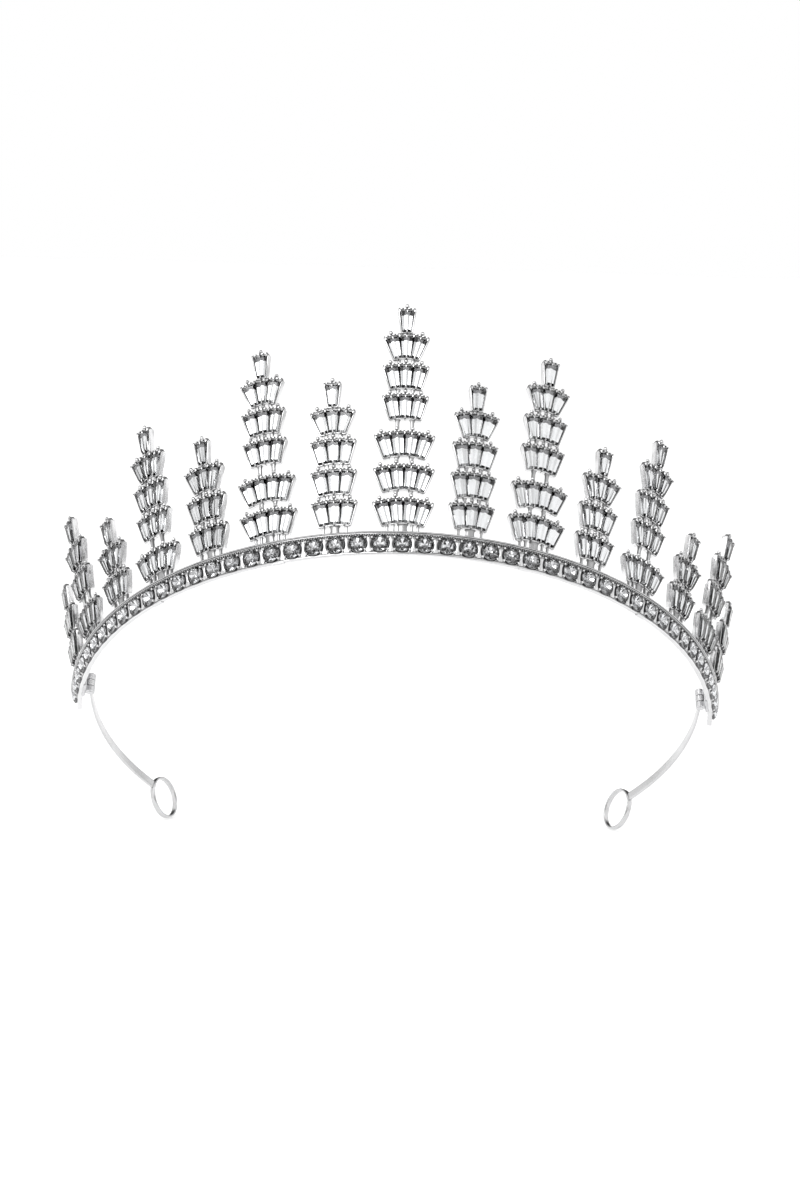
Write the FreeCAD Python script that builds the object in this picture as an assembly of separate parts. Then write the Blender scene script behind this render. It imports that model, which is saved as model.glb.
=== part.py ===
"""Bridal tiara: a band of round stones, fifteen spires of baguette stones, two hinged side arms.

Everything is built in the ring frame, then laid in the worn pose.

Ring frame, in millimetres: the origin is the centre of the band's circle, X runs to the right, -Y to
the front and +Z up the spires.  The band's face and the spires lean outwards by FLARE.
A piece on the band is drawn in its own flat frame: x along the band, y up the spire and z outwards,
with the origin on the circle through the centres of the band's stones.

Worn pose: the front is raised by WORN_TILT about the X axis, and the origin stays where it is.
"""
import FreeCAD
import Part
import math
import os
from FreeCAD import Matrix, Placement, Rotation, Vector

# The band
RING_RADIUS = 75.0         # circle through the centres of the band's stones
FLARE = 12.4               # outward lean of the band's face and of the spires, degrees
WORN_TILT = 40.0           # how far the front is raised as worn, degrees
STONE_STEP = 3.677         # angle from one band stone to the next, degrees
STONES_PER_SIDE = 23       # band stones on each side of the centre one
BAND_HALF_ANGLE = 86.9     # the band ends this far round on each side, degrees
BAND_BACK = -1.45          # inner face of the band
BAND_FLOOR = -1.05         # floor of the channel
BAND_FRONT = 0.5           # front edge of the channel's upper rim
BAND_FRONT_LOW = -0.3      # front edge of its lower rim, under the stones
BAND_TOP = 2.6
BAND_TOP_INSIDE = 1.95
BAND_BOTTOM = -2.3
BAND_BOTTOM_INSIDE = -1.85

# The band's round stones, their seats and the prongs between them
ROUND_RADIUS = 1.8
ROUND_TABLE_RADIUS = 1.0
ROUND_TABLE = 0.7
ROUND_GIRDLE = (-0.05, 0.1)
ROUND_CULET = -0.95
SEAT_OUTER_RADIUS = 1.83
SEAT_INNER_RADIUS = 1.52
SEAT_TOP = -0.2
PRONG_RADIUS = 0.3
PRONG_X = 0.74
PRONG_Y = 1.38
PRONG_TOP = 0.3
WEB_WIDTH = 0.7
WEB_TOP = -0.2

# A row of baguette stones: each stone tapers towards the fan's centre
STONE_LENGTH = 5.2
FAN_BOTTOM_RADIUS = 11.6   # from the fan's centre to the bottom of the stones
FAN_ANGLE = 11.0           # angle that one stone fills, degrees
NARROW_BOTTOM_RADIUS = 6.6  # the same for the row under a spire's top stone
NARROW_ANGLE = 15.5
TOP_BOTTOM_RADIUS = 8.0    # the same for a spire's single top stone
TOP_ANGLE = 14.4
WALL = 0.35                # wall of a row's tray
STONE_GAP = 0.04           # clearance round each stone
TRAY_BACK = -1.75
TRAY_FLOOR = -1.3
TRAY_FRONT = -0.25
BAGUETTE_KEEL = -1.1
BAGUETTE_GIRDLE = (-0.4, -0.2)
BAGUETTE_TABLE = 0.4
KEEL_INSET = 0.6
TABLE_INSET = 0.45
KNOB_RADIUS = 0.45
KNOB_RISE = 1.15           # from the stone's top edge to the centre of its knob
KNOB_STEM_RADIUS = 0.3
KNOB_DEPTH = -0.75
CLAW_RADIUS = 0.28
CLAW_TOP = 0.25
CLAW_ROOT = -1.0

# How the rows stand over each other and on the band
FIRST_ROW = 4.85           # bottom of the lowest row's stones above the band's centre line
STEP_WIDE = 7.8            # from a row of four to a row of four
STEP_WIDE_TO_THREE = 8.8   # from a row of four to a row of three
STEP_THREE = 7.15          # from a row of three to a row of three
STEP_TOP = 6.1             # from the row under it to the top stone
STRUT_X = 1.6
STRUT_WIDTH = 0.85
STRUT_BACK = -1.35
STRUT_FRONT = -0.5
LUG_WIDTH = 2.2
FOOT_WIDTH = 0.6
FOOT_ROOT = 0.1            # metal of the feet below the band's top, trimmed flush

# The spires from the centre outwards, each with its rows from the bottom up
SPIRE_STEP = 11.16         # angle from one spire to the next, degrees
SPIRES = [
    (4, 4, 4, 3, 3, 3, 1),
    (3, 3, 3, 3, 1),
    (4, 4, 3, 3, 3, 1),
    (3, 3, 3, 1),
    (4, 3, 3, 3, 1),
    (3, 3, 1),
    (4, 3, 3, 1),
    (3, 3, 1),
]
SPIRE_LEANS = {5: 2.5, 6: 3.2}  # further outward lean of a few spires, degrees

# The hinges, arms and end loops
HINGE_ANGLE = 80.0
HINGE_RADIUS = 71.6        # from the ring's axis to the pin
BARREL_RADIUS = 1.05
BARREL_HALF = 2.4
ARM_KNUCKLE_HALF = 0.75
KNUCKLE_GAP = 0.1
PIN_RADIUS = 0.45
PIN_CLEARANCE = 0.05
PIN_HEAD_RADIUS = 0.75
PIN_HEAD_HEIGHT = 0.3
LUG_TANGENT = 1.5          # width of the lugs that carry the barrel
LEAF_LENGTH = 5.0
LEAF_RADIUS = 72.65        # inner face of the leaf that is soldered to the band
LEAF_HALF = 2.2
ARM_END_ANGLE = 121.5
ARM_END_RADIUS = 68.3
ARM_MIDDLE_RADIUS = 69.3   # half way round from the hinge to the end
ARM_WIDTH = 2.2            # across the strip, along the ring's axis
ARM_ROOT = 1.7             # the strip is notched to its knuckle's width this near the pin
ARM_THICKNESS = 0.6
LOOP_RADIUS = 4.85         # to the middle of the strip
LOOP_DROP = 1.3            # how far the loop's centre hangs below the strip
LOOP_WIDTH = 1.3
LOOP_THICKNESS = 0.6

# Small tabs under the band's lower edge
TAB_ANGLES = (-46.0, -21.0, 0.0, 21.0, 46.0)
TAB_WIDTH = 3.0
TAB_DEPTH = 0.35
TAB_BACK = -1.35
TAB_FRONT = -0.45

SIDES = {"left": -1, "right": 1}


def on_band(angle):
    """Placement of a flat frame whose origin is on the stone circle at this angle from the front."""
    a = math.radians(angle)
    f = math.radians(FLARE)
    across = Vector(math.cos(a), math.sin(a), 0)
    out = Vector(math.sin(a), -math.cos(a), 0)
    up = out * math.sin(f) + Vector(0, 0, math.cos(f))
    face = out * math.cos(f) - Vector(0, 0, math.sin(f))
    at = out * RING_RADIUS
    return Placement(Matrix(across.x, up.x, face.x, at.x,
                            across.y, up.y, face.y, at.y,
                            across.z, up.z, face.z, at.z,
                            0, 0, 0, 1))


def ring_point(angle, radius, height=0.0):
    """Point at this angle from the front, this far from the ring's axis."""
    a = math.radians(angle)
    return Vector(radius * math.sin(a), -radius * math.cos(a), height)


def placed(shape, place):
    """A copy of the shape, moved rigidly by a placement."""
    copy = shape.copy()
    copy.Placement = place.multiply(copy.Placement)
    return copy


def box(x, y, z):
    """Box between pairs of x, y and z."""
    return Part.makeBox(x[1] - x[0], y[1] - y[0], z[1] - z[0], Vector(x[0], y[0], z[0]))


def rod(x, y, z, radius):
    """Round rod along z at x, y."""
    return Part.makeCylinder(radius, z[1] - z[0], Vector(x, y, z[0]))


def fused(shapes):
    """One solid of many that touch or overlap."""
    whole = shapes[0].multiFuse(shapes[1:]).removeSplitter()
    return whole.Solids[0] if len(whole.Solids) == 1 else whole


def revolved(points, angle=360):
    """Solid of revolution about z of a closed outline in x and z."""
    corners = [Vector(x, 0, z) for x, z in points]
    face = Part.Face(Part.makePolygon(corners + corners[:1]))
    return face.revolve(Vector(0, 0, 0), Vector(0, 0, 1), angle)


def stacked(sections):
    """Solid through flat outlines, given as (points, z), that keep their edges parallel."""
    rings = [[Vector(x, y, z) for x, y in points] for points, z in sections]
    faces = [Part.Face(Part.makePolygon(ring + ring[:1])) for ring in (rings[0], rings[-1])]
    for low, high in zip(rings, rings[1:]):
        for k in range(len(low)):
            n = (k + 1) % len(low)
            quad = [low[k], low[n], high[n], high[k], low[k]]
            faces.append(Part.Face(Part.makePolygon(quad)))
    solid = Part.makeSolid(Part.makeShell(faces))
    if solid.Volume < 0:
        solid.reverse()
    return solid


# ---------------------------------------------------------------- band

def band_section(points):
    """Points of the band's own section, outwards and up, as radius and height in the ring."""
    f = math.radians(FLARE)
    return [(RING_RADIUS + out * math.cos(f) + up * math.sin(f),
             up * math.cos(f) - out * math.sin(f)) for out, up in points]


def band_sweep(points):
    """Solid of a section carried round the whole band."""
    solid = revolved(band_section(points), 2 * BAND_HALF_ANGLE)
    solid.rotate(Vector(0, 0, 0), Vector(0, 0, 1), -90 - BAND_HALF_ANGLE)
    return solid


def band_channel():
    """Channel with a floor towards the head and a rim above and below the stones."""
    return band_sweep([(BAND_BACK, BAND_BOTTOM), (BAND_FRONT_LOW, BAND_BOTTOM),
                       (BAND_FRONT_LOW, BAND_BOTTOM_INSIDE), (BAND_FLOOR, BAND_BOTTOM_INSIDE),
                       (BAND_FLOOR, BAND_TOP_INSIDE), (BAND_FRONT, BAND_TOP_INSIDE),
                       (BAND_FRONT, BAND_TOP), (BAND_BACK, BAND_TOP)])


def band_outside():
    """The band's outer shape without the channel, for trimming what meets it."""
    return band_sweep([(BAND_BACK, BAND_BOTTOM), (BAND_FRONT, BAND_BOTTOM),
                       (BAND_FRONT, BAND_TOP), (BAND_BACK, BAND_TOP)])


def band_stone_angles():
    """Angle of each band stone."""
    return [k * STONE_STEP for k in range(-STONES_PER_SIDE, STONES_PER_SIDE + 1)]


def round_stone():
    """Round stone with its culet towards the channel's floor."""
    low, high = ROUND_GIRDLE
    return revolved([(0, ROUND_CULET), (ROUND_RADIUS, low), (ROUND_RADIUS, high),
                     (ROUND_TABLE_RADIUS, ROUND_TABLE), (0, ROUND_TABLE)])


def stone_seat():
    """Ring that carries one round stone."""
    tube = rod(0, 0, (BAND_FLOOR, SEAT_TOP), SEAT_OUTER_RADIUS)
    return tube.cut(rod(0, 0, (BAND_FLOOR - 1, SEAT_TOP + 1), SEAT_INNER_RADIUS))


def prong_bridge():
    """Web between two stones with four prongs."""
    half = WEB_WIDTH / 2
    web = box((-half, half), (BAND_BOTTOM_INSIDE, BAND_TOP_INSIDE), (BAND_FLOOR, WEB_TOP))
    pieces = [web]
    for y in (-PRONG_Y, PRONG_Y):
        pieces.append(box((-PRONG_X, PRONG_X), (y - 0.2, y + 0.2), (BAND_FLOOR, WEB_TOP)))
        for x in (-PRONG_X, PRONG_X):
            pieces.append(rod(x, y, (BAND_FLOOR, PRONG_TOP), PRONG_RADIUS))
    return fused(pieces)


def along_band(shape, angles):
    """Copies of a shape at these angles, as separate solids."""
    return Part.makeCompound([placed(shape, on_band(angle)) for angle in angles])


def edge_tabs():
    """Small tabs under the lower edge."""
    half = TAB_WIDTH / 2
    tab = box((-half, half), (BAND_BOTTOM - TAB_DEPTH, BAND_BOTTOM), (TAB_BACK, TAB_FRONT))
    return along_band(tab, TAB_ANGLES)


# ---------------------------------------------------------------- spires

def fan_of(count, under_top):
    """Bottom radius and stone angle of a row, from its count and whether the top stone is over it."""
    if count == 1:
        return TOP_BOTTOM_RADIUS, TOP_ANGLE
    if under_top:
        return NARROW_BOTTOM_RADIUS, NARROW_ANGLE
    return FAN_BOTTOM_RADIUS, FAN_ANGLE


def polar(radius, angle, centre_y):
    """Point in a fan, at an angle from straight up."""
    a = math.radians(angle)
    return radius * math.sin(a), centre_y + radius * math.cos(a)


def fan_outline(count, fan, bottom, grow):
    """Outline of a row of stones, grown all round."""
    radius, angle = fan
    centre = bottom - radius
    spread = math.cos(math.radians(angle / 2))
    low = (radius - grow) / spread
    high = (radius + STONE_LENGTH + grow) / spread
    edges = [(k - count / 2) * angle for k in range(count + 1)]
    points = []
    for reach, order in ((low, edges), (high, edges[::-1])):
        for edge in order:
            x, y = polar(reach, edge, centre)
            if edge in (edges[0], edges[-1]):
                side = math.copysign(grow, edge)
                x += side * math.cos(math.radians(edge))
                y -= side * math.sin(math.radians(edge))
            points.append((x, y))
    return points


def stone_outline(fan, inset):
    """Outline of one baguette standing up the y axis of its fan, drawn in from its edges."""
    radius, angle = fan
    half_taper = math.radians(angle / 2)
    shift = (inset + STONE_GAP) / math.cos(half_taper)
    low, high = radius + inset, radius + STONE_LENGTH - inset
    half_low = low * math.tan(half_taper) - shift
    half_high = high * math.tan(half_taper) - shift
    return [(-half_low, low), (half_low, low), (half_high, high), (-half_high, high)]


def baguette(fan):
    """Tapered step-cut stone, in the fan's own frame."""
    low, high = BAGUETTE_GIRDLE
    return stacked([(stone_outline(fan, KEEL_INSET), BAGUETTE_KEEL), (stone_outline(fan, 0), low),
                    (stone_outline(fan, 0), high), (stone_outline(fan, TABLE_INSET), BAGUETTE_TABLE)])


def turned_in_fan(shape, turn, centre_y):
    """A shape of the fan's own frame, turned about its centre and set at its height."""
    copy = shape.copy()
    copy.rotate(Vector(0, 0, 0), Vector(0, 0, 1), -turn)
    copy.translate(Vector(0, centre_y, 0))
    return copy


def stone_turns(count, angle):
    """Angle of each stone's own axis in a row."""
    return [(k - (count - 1) / 2) * angle for k in range(count)]


def knob(top):
    """Knob on its stem over a stone, in the fan's own frame."""
    stem = Part.makeCylinder(KNOB_STEM_RADIUS, KNOB_RISE, Vector(0, top, KNOB_DEPTH), Vector(0, 1, 0))
    return [stem, Part.makeSphere(KNOB_RADIUS, Vector(0, top + KNOB_RISE, KNOB_DEPTH))]


def claw_at(x, y):
    """Claw that stands on the tray's wall."""
    return rod(x, y, (CLAW_ROOT, CLAW_TOP), CLAW_RADIUS)


def row_metal(count, fan, bottom, under_top):
    """Tray of one row with its knobs and claws; the lug of the top stone takes its middle knob's place."""
    radius, angle = fan
    centre = bottom - radius
    top = radius + STONE_LENGTH
    outer = stacked([(fan_outline(count, fan, bottom, WALL), TRAY_BACK),
                     (fan_outline(count, fan, bottom, WALL), TRAY_FRONT)])
    pocket = stacked([(fan_outline(count, fan, bottom, 0.0), TRAY_FLOOR),
                      (fan_outline(count, fan, bottom, 0.0), TRAY_FRONT + 1)])
    pieces = [outer.cut(pocket)]
    for turn in stone_turns(count, angle):
        if turn or not under_top:
            pieces += [turned_in_fan(piece, turn, centre) for piece in knob(top + WALL / 2)]
        pieces.append(turned_in_fan(claw_at(0, radius - WALL), turn, centre))
    claw_reach = (top + WALL) / math.cos(math.radians(angle / 2))
    for k in range(count + 1):
        x, y = polar(claw_reach, (k - count / 2) * angle, centre)
        pieces.append(claw_at(x, y))
    return pieces


def row_bottoms(rows):
    """Height of each row's stones over the band's centre line."""
    heights = [FIRST_ROW]
    for below, above in zip(rows, rows[1:]):
        if above == 1:
            step = STEP_TOP
        elif below == 4:
            step = STEP_WIDE if above == 4 else STEP_WIDE_TO_THREE
        else:
            step = STEP_THREE
        heights.append(heights[-1] + step)
    return heights


def struts(below, above_bottom, above_count):
    """Struts from the top of one row to the bottom of the next."""
    top = below + STONE_LENGTH
    places = (0,) if above_count == 1 else (-STRUT_X, STRUT_X)
    width = LUG_WIDTH / 2 if above_count == 1 else STRUT_WIDTH / 2
    return [box((x - width, x + width), (top - 0.05, above_bottom - WALL / 3), (STRUT_BACK, STRUT_FRONT))
            for x in places]


def feet(count):
    """Central lug and posts from the band's top to the lowest row."""
    lug = LUG_WIDTH / 2
    low = BAND_TOP - FOOT_ROOT
    pieces = [box((-lug, lug), (low, FIRST_ROW - WALL / 2), (STRUT_BACK, STRUT_FRONT))]
    half = FOOT_WIDTH / 2
    for x in ((-3.3, -2.0, 2.0, 3.3) if count == 4 else (-2.5, 2.5)):
        reach = math.sqrt(FAN_BOTTOM_RADIUS ** 2 - x ** 2) - FAN_BOTTOM_RADIUS
        pieces.append(box((x - half, x + half), (low, FIRST_ROW + reach - WALL / 2),
                          (STRUT_BACK, STRUT_FRONT)))
    return pieces


def spire(rows, lean):
    """Frame and stones of one spire in its flat frame, leaned over its feet and trimmed on the band."""
    bottoms = row_bottoms(rows)
    metal = feet(rows[0])
    stones = []
    for k, (count, bottom) in enumerate(zip(rows, bottoms)):
        under_top = k == len(rows) - 2
        fan = fan_of(count, under_top)
        metal += row_metal(count, fan, bottom, under_top)
        if k + 1 < len(rows):
            metal += struts(bottom, bottoms[k + 1], rows[k + 1])
        stone = baguette(fan)
        stones += [turned_in_fan(stone, turn, bottom - fan[0]) for turn in stone_turns(count, fan[1])]
    frame, stones = fused(metal), Part.makeCompound(stones)
    for shape in (frame, stones):
        shape.rotate(Vector(0, BAND_TOP, STRUT_FRONT), Vector(1, 0, 0), lean)
    frame = frame.cut(box((-STONE_LENGTH, STONE_LENGTH), (BAND_BOTTOM, BAND_TOP), (2 * BAND_BACK, BAND_TOP)))
    return frame.Solids[0], stones


# ---------------------------------------------------------------- hinges, arms and loops

def hinge_placement(side):
    """Flat frame at a hinge pin: x outwards, y along the band's circle and z up."""
    angle = HINGE_ANGLE * side
    return Placement(ring_point(angle, HINGE_RADIUS), Rotation(Vector(0, 0, 1), angle - 90))


def hinge_bracket(side, band):
    """Leaf on the inside of the band with the two outer knuckles."""
    inner = ARM_KNUCKLE_HALF + KNUCKLE_GAP
    reach = RING_RADIUS - HINGE_RADIUS
    half_lug = LUG_TANGENT / 2
    half_leaf = LEAF_LENGTH / 2
    pieces = [box((LEAF_RADIUS - HINGE_RADIUS, reach), (-half_leaf, half_leaf), (-LEAF_HALF, LEAF_HALF))]
    for low, high in ((-BARREL_HALF, -inner), (inner, BARREL_HALF)):
        pieces.append(rod(0, 0, (low, high), BARREL_RADIUS))
        pieces.append(box((0, reach), (-half_lug, half_lug), (max(low, -LEAF_HALF), min(high, LEAF_HALF))))
    bracket = fused(pieces).cut(rod(0, 0, (-BARREL_HALF - 1, BARREL_HALF + 1), PIN_RADIUS))
    inside = placed(bracket, hinge_placement(side)).cut(band).Solids
    return min(inside, key=lambda solid: math.hypot(solid.CenterOfMass.x, solid.CenterOfMass.y))


def hinge_pin(side):
    """Pin with a flat head at each end."""
    top = BARREL_HALF + PIN_HEAD_HEIGHT
    pin = fused([rod(0, 0, (-top, top), PIN_RADIUS),
                 rod(0, 0, (BARREL_HALF, top), PIN_HEAD_RADIUS),
                 rod(0, 0, (-top, -BARREL_HALF), PIN_HEAD_RADIUS)])
    return placed(pin, hinge_placement(side))


def strip_between(inner, outer, low, high):
    """Solid between two plan curves, from one height to another."""
    ends = [Part.LineSegment(inner.EndPoint, outer.EndPoint),
            Part.LineSegment(outer.StartPoint, inner.StartPoint)]
    wire = Part.Wire(Part.__sortEdges__([c.toShape() for c in (inner, outer, *ends)]))
    face = Part.Face(wire)
    face.translate(Vector(0, 0, low))
    return face.extrude(Vector(0, 0, high - low))


def arm_arc(side, offset):
    """Plan curve of the arm's strip, offset outwards from its middle."""
    start = ring_point(HINGE_ANGLE * side, HINGE_RADIUS + offset)
    middle_angle = (HINGE_ANGLE + ARM_END_ANGLE) / 2
    middle = ring_point(middle_angle * side, ARM_MIDDLE_RADIUS + offset)
    end = ring_point(ARM_END_ANGLE * side, ARM_END_RADIUS + offset)
    return Part.Arc(start, middle, end)


def loop_disc(side, radius, width):
    """Disc in the plane of the end loop, across the strip by its width."""
    angle = ARM_END_ANGLE * side
    out = ring_point(angle, 1.0)
    along = Vector(-out.y, out.x, 0) * side
    reach = math.sqrt((LOOP_RADIUS + LOOP_THICKNESS / 2) ** 2 - (LOOP_DROP + ARM_WIDTH / 2) ** 2)
    centre = ring_point(angle, ARM_END_RADIUS, -LOOP_DROP) + along * reach
    return Part.makeCylinder(radius, width, centre - out * (width / 2), out)


def arm(side):
    """Flat strip notched at its root round the hinge's middle knuckle, cut to meet the end loop."""
    half = ARM_THICKNESS / 2
    strip = strip_between(arm_arc(side, -half), arm_arc(side, half), -ARM_WIDTH / 2, ARM_WIDTH / 2)
    knuckle = placed(rod(0, 0, (-ARM_KNUCKLE_HALF, ARM_KNUCKLE_HALF), BARREL_RADIUS),
                     hinge_placement(side))
    bore = placed(rod(0, 0, (-BARREL_HALF, BARREL_HALF), PIN_RADIUS + PIN_CLEARANCE),
                  hinge_placement(side))
    for low, high in ((-ARM_WIDTH, -ARM_KNUCKLE_HALF), (ARM_KNUCKLE_HALF, ARM_WIDTH)):
        strip = strip.cut(placed(rod(0, 0, (low, high), ARM_ROOT), hinge_placement(side)))
    whole = fused([strip, knuckle]).cut(bore)
    whole = whole.cut(loop_disc(side, LOOP_RADIUS + LOOP_THICKNESS / 2, LOOP_WIDTH * 3))
    return max(whole.Solids, key=lambda solid: solid.Volume)


def end_loop(side):
    """Round loop of strip, standing on edge at the arm's end."""
    outer = loop_disc(side, LOOP_RADIUS + LOOP_THICKNESS / 2, LOOP_WIDTH)
    return outer.cut(loop_disc(side, LOOP_RADIUS - LOOP_THICKNESS / 2, LOOP_WIDTH * 3))


# ---------------------------------------------------------------- assembly

def worn(shape):
    """A ring-frame shape laid in the worn pose."""
    return placed(shape, Placement(Vector(0, 0, 0), Rotation(Vector(1, 0, 0), -WORN_TILT)))


def nodes():
    """Every node of the tiara by name, in the ring frame."""
    parts = {
        "band_channel": band_channel(),
        "band_stones": along_band(round_stone(), band_stone_angles()),
        "band_seats": along_band(stone_seat(), band_stone_angles()),
        "band_prongs": along_band(prong_bridge(), [(k - 0.5) * STONE_STEP for k in
                                                   range(1 - STONES_PER_SIDE, STONES_PER_SIDE + 1)]),
        "edge_tabs": edge_tabs(),
    }
    for k, rows in enumerate(SPIRES):
        frame, stones = spire(rows, SPIRE_LEANS.get(k, 0.0))
        for side, sign in (SIDES.items() if k else (("center", 0),)):
            name = f"{side}_spire_{k}" if k else "center_spire"
            place = on_band(k * SPIRE_STEP * sign)
            parts[name + "_frame"] = placed(frame, place)
            parts[name + "_stones"] = placed(stones, place)
    band = band_outside()
    for side, sign in SIDES.items():
        parts[side + "_hinge_bracket"] = hinge_bracket(sign, band)
        parts[side + "_hinge_pin"] = hinge_pin(sign)
        parts[side + "_arm"] = arm(sign)
        parts[side + "_end_loop"] = end_loop(sign)
    return parts


os.makedirs("parts", exist_ok=True)
for node_name, node_shape in nodes().items():
    shape = worn(node_shape)
    shape.exportStep(f"parts/{node_name}.step")
    bounds = shape.BoundBox
    print(f"{node_name:24s} solids {len(shape.Solids):3d} valid {shape.isValid()} volume {shape.Volume:8.2f}"
          f"  x {bounds.XMin:7.1f} {bounds.XMax:7.1f} y {bounds.YMin:7.1f} {bounds.YMax:7.1f}"
          f" z {bounds.ZMin:7.1f} {bounds.ZMax:7.1f}")
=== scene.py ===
"""Bridal tiara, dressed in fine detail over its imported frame.

A band of round brilliants, fifteen spires of fanned baguettes in trays, and two hinged side arms.
Shapes are worked out in millimetres.  In the ring frame the origin is the centre of the band's circle,
X runs to the right, -Y to the front and +Z up the spires.  A piece on the band is drawn in a flat
frame: x along the band, y up the spire and z outwards.  The worn pose raises the front about X.
"""

import logging
import math
from collections.abc import Sequence
from dataclasses import dataclass, field
from enum import Enum
from typing import Any

import bpy
import numpy as np
from mathutils import Matrix, Vector


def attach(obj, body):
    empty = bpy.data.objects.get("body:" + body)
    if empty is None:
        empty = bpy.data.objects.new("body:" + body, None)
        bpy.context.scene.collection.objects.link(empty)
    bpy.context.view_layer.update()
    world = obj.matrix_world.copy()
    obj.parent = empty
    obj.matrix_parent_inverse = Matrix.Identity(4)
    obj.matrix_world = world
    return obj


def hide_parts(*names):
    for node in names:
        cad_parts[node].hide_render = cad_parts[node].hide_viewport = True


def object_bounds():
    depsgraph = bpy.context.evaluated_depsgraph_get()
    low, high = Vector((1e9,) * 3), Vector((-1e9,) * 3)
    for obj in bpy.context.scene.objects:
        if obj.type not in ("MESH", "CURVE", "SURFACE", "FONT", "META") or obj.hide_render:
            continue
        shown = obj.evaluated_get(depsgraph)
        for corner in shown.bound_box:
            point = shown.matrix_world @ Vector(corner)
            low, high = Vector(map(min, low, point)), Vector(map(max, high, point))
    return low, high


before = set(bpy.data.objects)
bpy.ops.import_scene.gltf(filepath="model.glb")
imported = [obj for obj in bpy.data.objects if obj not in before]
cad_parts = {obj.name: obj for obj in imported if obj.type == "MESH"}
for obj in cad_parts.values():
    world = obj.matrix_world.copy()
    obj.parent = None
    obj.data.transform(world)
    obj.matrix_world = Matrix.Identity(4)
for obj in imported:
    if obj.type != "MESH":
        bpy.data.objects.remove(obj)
CAD_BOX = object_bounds()

LOG = logging.getLogger("tiara")
METRES = 0.001
EASE = 0.4
METAL_CREASE = 38.0
FACET_CREASE = 1.0
SIDES = {"left": -1, "right": 1}


# ---------------------------------------------------------------- shapes as arrays

@dataclass
class Shape:
    """Points in millimetres with polygons on them; each block of polygons has one finish, and each
    point a painted light level, 1 fully lit and lower for painted shade.
    """

    points: np.ndarray
    blocks: list[np.ndarray]
    finishes: list[int]
    painted_light_levels: np.ndarray = field(default_factory=lambda: np.zeros(0))

    def __post_init__(self) -> None:
        """Give every point full painted light where none is stated."""
        if len(self.painted_light_levels) != len(self.points):
            self.painted_light_levels = np.ones(len(self.points))

    def volume(self) -> float:
        """Signed volume: each polygon is cut in triangles from its first corner.

        Returns:
            Cubic millimetres, below zero where the faces point inwards.
        """
        total = 0.0
        for block in self.blocks:
            first = self.points[block[:, 0]]
            for k in range(1, block.shape[1] - 1):
                second, third = self.points[block[:, k]], self.points[block[:, k + 1]]
                total += float(np.einsum("ij,ij->", first, np.cross(second, third))) / 6
        return total

    def outward(self) -> "Shape":
        """The same closed shape with every polygon facing out.

        Returns:
            The shape itself.
        """
        if self.volume() < 0:
            self.blocks = [block[:, ::-1] for block in self.blocks]
        return self

    def with_painted_light(self, painted_light: float | np.ndarray) -> "Shape":
        """The same shape with this painted light level on its points; below 1 is painted shade."""
        self.painted_light_levels = np.broadcast_to(np.asarray(painted_light, float), (len(self.points),)).copy()
        return self

    def moved(self, rows: np.ndarray, offset: Sequence[float] = (0, 0, 0)) -> "Shape":
        """A copy turned by a matrix whose rows are the new axes, then shifted."""
        return Shape(self.points @ rows + np.asarray(offset, float), list(self.blocks),
                     list(self.finishes), self.painted_light_levels.copy())

    def shifted(self, x: float = 0.0, y: float = 0.0, z: float = 0.0) -> "Shape":
        """A copy shifted by x, y and z."""
        return self.moved(np.eye(3), (x, y, z))

    def copies(self, rows: np.ndarray, offsets: np.ndarray) -> "Shape":
        """Many copies in one shape.

        Args:
            rows: One matrix per copy, whose rows are the new axes.
            offsets: One shift per copy.

        Returns:
            The copies as separate closed bodies.
        """
        count = len(self.points)
        points = np.einsum("nj,kji->kni", self.points, rows) + offsets[:, None, :]
        steps = np.arange(len(rows))[:, None, None] * count
        blocks = [(block[None] + steps).reshape(-1, block.shape[1]) for block in self.blocks]
        return Shape(points.reshape(-1, 3), blocks, list(self.finishes), np.tile(self.painted_light_levels, len(rows)))


def together(shapes: Sequence[Shape]) -> Shape:
    """One shape of many, each still a closed body.

    Args:
        shapes: The shapes, in order.

    Returns:
        All their points and blocks in one.
    """
    starts = np.cumsum([0] + [len(shape.points) for shape in shapes])
    blocks = [block + start for shape, start in zip(shapes, starts) for block in shape.blocks]
    finishes = [finish for shape in shapes for finish in shape.finishes]
    return Shape(np.concatenate([shape.points for shape in shapes]), blocks, finishes,
                 np.concatenate([shape.painted_light_levels for shape in shapes]))


def skinned(grid: np.ndarray, bands: Sequence[int] | None = None, closed: bool = False) -> Shape:
    """Closed skin over rings of points.

    Each quadrilateral joins neighbours j and j + 1 of ring i with the same two of ring i + 1, and the
    first and last rings are capped with a polygon unless the rings themselves close up.

    Args:
        grid: Points by ring and place round the ring.
        bands: The finish of each band between two rings, the caps taking their neighbour's.
        closed: Whether the last ring joins the first, as round a hoop.

    Returns:
        The closed shape, facing outwards.
    """
    rings, around = grid.shape[:2]
    index = np.arange(rings * around).reshape(rings, around)
    low = index if closed else index[:-1]
    high = np.roll(index, -1, axis=0) if closed else index[1:]
    quads = np.stack([low, np.roll(low, -1, axis=1), np.roll(high, -1, axis=1), high], axis=-1)
    finish = list(bands) if bands is not None else [0] * len(quads)
    blocks = [quads[i] for i in range(len(quads))]
    if not closed:
        blocks += [index[0][None, ::-1], index[-1][None]]
        finish += [finish[0], finish[-1]]
    return Shape(grid.reshape(-1, 3), blocks, finish).outward()


def lathed(profile: Sequence[tuple[float, float]], segments: int, closed: bool = False) -> Shape:
    """Profile of radius and height carried round z: point = (r cos a, r sin a, h).

    Args:
        profile: Pairs of radius and height.
        segments: Points round each ring.
        closed: Whether the profile closes up, as a tube's does.

    Returns:
        The closed shape.
    """
    radius, height = np.array(profile, float).T
    angle = np.linspace(0, 2 * math.pi, segments, endpoint=False)
    grid = np.stack([radius[:, None] * np.cos(angle), radius[:, None] * np.sin(angle),
                     np.broadcast_to(height[:, None], (len(radius), segments))], axis=-1)
    return skinned(grid, closed=closed)


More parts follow.
